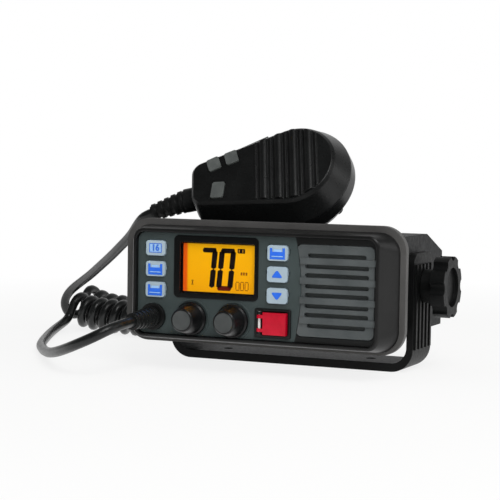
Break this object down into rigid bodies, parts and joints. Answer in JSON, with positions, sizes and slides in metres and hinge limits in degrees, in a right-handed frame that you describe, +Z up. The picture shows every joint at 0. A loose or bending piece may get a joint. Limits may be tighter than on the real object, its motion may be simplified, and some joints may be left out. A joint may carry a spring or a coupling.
{
  "type": "vhf marine radio",
  "caption": "Fixed marine radio in a tilting U bracket, with display, keys, knobs, speaker, flip-covered emergency key and a fist microphone on a curly cord.",
  "frame": {"origin": "centre of the underside of the mounting bracket, between its two base screw holes", "axes": "+X to the right along the front panel, +Y to the back, +Z up; the front panel faces -Y"},
  "size_m": [0.2839, 0.2273, 0.1286],
  "materials": {
    "bracket_plastic": "fine matt texture",
    "washer_rubber": "matt",
    "knob_plastic": "fine matt",
    "stainless": "brushed",
    "chassis_alloy": "painted dark grey, satin",
    "zinc_brass": "machined",
    "cover_steel": "zinc plated",
    "socket_metal": "nickel plated",
    "gland_rubber": "matt",
    "housing_plastic": "satin dark grey",
    "gasket_foam": "soft",
    "frame_plastic": "satin black",
    "faceplate_plastic": "satin blue grey",
    "grille_plastic": "satin grey",
    "speaker_steel": "zinc plated",
    "cone_paper": "matt fibre",
    "surround_plastic": "gloss black",
    "window_glass": "clear",
    "crystal_amber": "lit amber",
    "backlight_white": "matt white",
    "key_rubber": "pale grey, lit",
    "membrane_silicone": "soft",
    "board_green": "solder mask",
    "module_tin": "tin plated",
    "cap_plastic": "satin grey",
    "distress_red": "gloss red",
    "pin_white": "gloss",
    "mic_plastic": "satin black",
    "mic_key_rubber": "matt grey",
    "cord_rubber": "satin black"
  },
  "bodies": {
    "bracket": {"mounting_bracket": "bracket_plastic", "friction_washers": "washer_rubber", "microphone_lead": "cord_rubber", "microphone_coil": "cord_rubber", "microphone_tail": "cord_rubber"},
    "radio": {"antenna_socket": "socket_metal", "backlight_panel": "backlight_white", "bottom_cover": "cover_steel", "bottom_cover_screws": "stainless", "chassis": "chassis_alloy", "cord_gland": "gland_rubber", "display_surround": "surround_plastic", "display_window": "window_glass", "distress_frame": "frame_plastic", "distress_hinge_pin": "pin_white", "faceplate": "faceplate_plastic", "front_circuit_board": "board_green", "front_frame": "frame_plastic", "front_housing": "housing_plastic", "keypad_membrane": "membrane_silicone", "lcd_panel": "crystal_amber", "main_circuit_board": "board_green", "mic_capsule": "module_tin", "mic_circuit_board": "board_green", "mic_front_cover": "mic_plastic", "mic_hang_stud": "stainless", "mic_rear_shell": "mic_plastic", "mic_screws": "stainless", "mic_strain_relief": "gland_rubber", "panel_gasket": "gasket_foam", "panel_screws": "stainless", "pivot_inserts": "zinc_brass", "potentiometers": "module_tin", "rear_cable_glands": "gland_rubber", "speaker_basket": "speaker_steel", "speaker_cone": "cone_paper", "speaker_grille": "grille_plastic", "transmitter_module": "module_tin"},
    "left_clamp": {"clamp_knob_left": "knob_plastic", "clamp_screw_left": "stainless"},
    "right_clamp": {"clamp_knob_right": "knob_plastic", "clamp_screw_right": "stainless"},
    "volume": {"volume_knob": "knob_plastic", "volume_cap": "cap_plastic", "volume_shaft": "stainless"},
    "squelch": {"squelch_knob": "knob_plastic", "squelch_cap": "cap_plastic", "squelch_shaft": "stainless"},
    "number_key": {"key_number": "key_rubber"},
    "left_middle_key": {"key_left_middle": "key_rubber"},
    "left_lower_key": {"key_left_lower": "key_rubber"},
    "right_upper_key": {"key_right_upper": "key_rubber"},
    "up_key": {"key_up": "key_rubber"},
    "down_key": {"key_down": "key_rubber"},
    "distress_lid": {"distress_cover": "distress_red"},
    "distress_button": {"distress_key": "distress_red"},
    "talk_key": {"mic_talk_key": "mic_key_rubber"},
    "mic_left_key": {"mic_upper_key_left": "mic_key_rubber"},
    "mic_right_key": {"mic_upper_key_right": "mic_key_rubber"},
    "mic_low_key": {"mic_lower_key": "mic_key_rubber"}
  },
  "joints": [
    {"name": "radio_tilt", "type": "hinge", "parent": "bracket", "child": "radio", "pos_m": [0, 0, 0.0453], "axis": [-1, 0, 0], "range_deg": [-12, 20], "deforming": ["microphone_lead", "microphone_coil", "microphone_tail"]},
    {"name": "left_clamp_turn", "type": "hinge", "parent": "bracket", "child": "left_clamp", "pos_m": [-0.078, 0, 0.0453], "axis": [1, 0, 0], "continuous": true},
    {"name": "right_clamp_turn", "type": "hinge", "parent": "bracket", "child": "right_clamp", "pos_m": [0.078, 0, 0.0453], "axis": [1, 0, 0], "continuous": true},
    {"name": "volume_turn", "type": "hinge", "parent": "radio", "child": "volume", "pos_m": [-0.0352, -0.07, 0.0274], "axis": [0, 1, 0], "range_deg": [-150, 150]},
    {"name": "squelch_turn", "type": "hinge", "parent": "radio", "child": "squelch", "pos_m": [-0.0112, -0.07, 0.0274], "axis": [0, 1, 0], "range_deg": [-150, 150]},
    {"name": "number_key_press", "type": "slide", "parent": "radio", "child": "number_key", "axis": [0, 1, 0], "range_m": [0, 0.0008], "stiffness_N_per_m": 600},
    {"name": "left_middle_key_press", "type": "slide", "parent": "radio", "child": "left_middle_key", "axis": [0, 1, 0], "range_m": [0, 0.0008], "stiffness_N_per_m": 600},
    {"name": "left_lower_key_press", "type": "slide", "parent": "radio", "child": "left_lower_key", "axis": [0, 1, 0], "range_m": [0, 0.0008], "stiffness_N_per_m": 600},
    {"name": "right_upper_key_press", "type": "slide", "parent": "radio", "child": "right_upper_key", "axis": [0, 1, 0], "range_m": [0, 0.0008], "stiffness_N_per_m": 600},
    {"name": "up_key_press", "type": "slide", "parent": "radio", "child": "up_key", "axis": [0, 1, 0], "range_m": [0, 0.0008], "stiffness_N_per_m": 600},
    {"name": "down_key_press", "type": "slide", "parent": "radio", "child": "down_key", "axis": [0, 1, 0], "range_m": [0, 0.0008], "stiffness_N_per_m": 600},
    {"name": "distress_cover_flip", "type": "hinge", "parent": "radio", "child": "distress_lid", "pos_m": [0.00445, -0.0654, 0.0274], "axis": [0, 0, -1], "range_deg": [0, 100]},
    {"name": "distress_key_press", "type": "slide", "parent": "radio", "child": "distress_button", "axis": [0, 1, 0], "range_m": [0, 0.0008], "stiffness_N_per_m": 600},
    {"name": "talk_key_press", "type": "slide", "parent": "radio", "child": "talk_key", "axis": [0.4948, -0.4733, -0.7288], "range_m": [0, 0.0015], "stiffness_N_per_m": 600},
    {"name": "mic_left_key_press", "type": "slide", "parent": "radio", "child": "mic_left_key", "axis": [0, 0.8387, -0.5446], "range_m": [0, 0.0007], "stiffness_N_per_m": 600},
    {"name": "mic_right_key_press", "type": "slide", "parent": "radio", "child": "mic_right_key", "axis": [0, 0.8387, -0.5446], "range_m": [0, 0.0007], "stiffness_N_per_m": 600},
    {"name": "mic_low_key_press", "type": "slide", "parent": "radio", "child": "mic_low_key", "axis": [0, 0.8387, -0.5446], "range_m": [0, 0.0007], "stiffness_N_per_m": 600}
  ]
}
